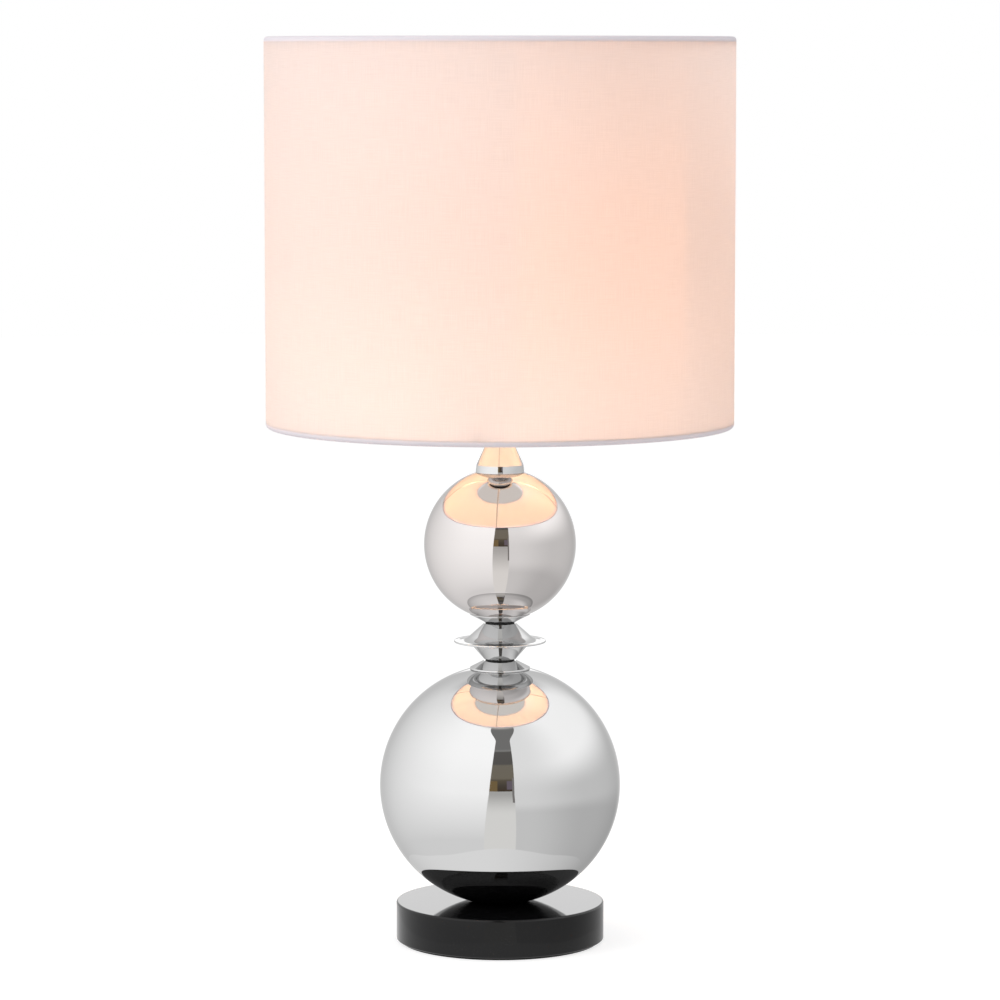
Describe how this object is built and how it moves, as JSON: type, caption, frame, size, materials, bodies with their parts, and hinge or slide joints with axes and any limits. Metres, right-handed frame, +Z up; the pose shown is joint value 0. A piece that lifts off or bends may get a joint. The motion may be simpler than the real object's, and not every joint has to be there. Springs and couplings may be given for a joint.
{
  "type": "table lamp",
  "caption": "Table lamp: fabric drum shade on a column of a small and a large polished sphere with a waisted spacer, on a round stone base",
  "frame": {"origin": "centre of the underside, on the surface the lamp stands on", "axes": "+Z up along the column, -Y towards the viewer of the picture, +X to the right; the cord inlet faces +Y"},
  "size_m": [0.3, 0.3, 0.583],
  "materials": {
    "felt": "matte felt",
    "stone": "polished black",
    "chrome": "mirror polished",
    "steel": "zinc plated",
    "wire": "white epoxy",
    "rubber": "matte black",
    "black_plastic": "moulded black",
    "ceramic": "white",
    "brass": "bare",
    "bulb_metal": "satin",
    "bulb_black": "black vitreous",
    "opal": "opal white",
    "fabric": "white woven",
    "liner": "translucent white"
  },
  "bodies": {
    "column": {"felt_pad": "felt", "stone_base": "stone", "cord_bushing": "black_plastic", "base_washer": "steel", "lock_washer": "steel", "base_nut": "steel", "threaded_rod": "steel", "ball_seat": "rubber", "big_ball": "chrome", "lower_flange": "chrome", "lower_gasket": "rubber", "waist_cone": "chrome", "waist_disc": "chrome", "upper_gasket": "rubber", "upper_saucer": "chrome", "small_ball": "chrome", "top_cap": "chrome", "top_nut": "steel", "holder_cup": "chrome", "holder_skirt": "black_plastic", "holder_core": "ceramic", "terminal_screws": "steel", "screw_shell": "brass", "centre_contact": "brass"},
    "shade": {"fitter_ring": "wire", "fitter_arms": "wire", "shade_bottom_ring": "wire", "shade_top_ring": "wire", "shade_liner": "liner", "shade_cover": "fabric"},
    "ring_nut": {"shade_ring_nut": "black_plastic"},
    "bulb_rise": {"bulb_tip": "bulb_metal"},
    "bulb": {"bulb_cap": "bulb_metal", "bulb_insulator": "bulb_black", "bulb_glass": "opal"}
  },
  "joints": [
    {"name": "shade_turn", "type": "hinge", "parent": "column", "child": "shade", "pos_m": [0, 0, 0.365], "axis": [0, 0, 1], "continuous": true},
    {"name": "ring_nut_turn", "type": "hinge", "parent": "column", "child": "ring_nut", "pos_m": [0, 0, 0.3695], "axis": [0, 0, 1], "range_deg": [0, 360]},
    {"name": "bulb_lift", "type": "slide", "parent": "column", "child": "bulb_rise", "axis": [0, 0, 1], "range_m": [0, 0.01695]},
    {"name": "bulb_turn", "type": "hinge", "parent": "bulb_rise", "child": "bulb", "pos_m": [0, 0, 0.355], "axis": [0, 0, 1], "range_deg": [0, 2160]}
  ],
  "couplings": [
    {"joint": "bulb_lift", "follows": "bulb_turn", "m_per_rad": 0.00044914}
  ]
}
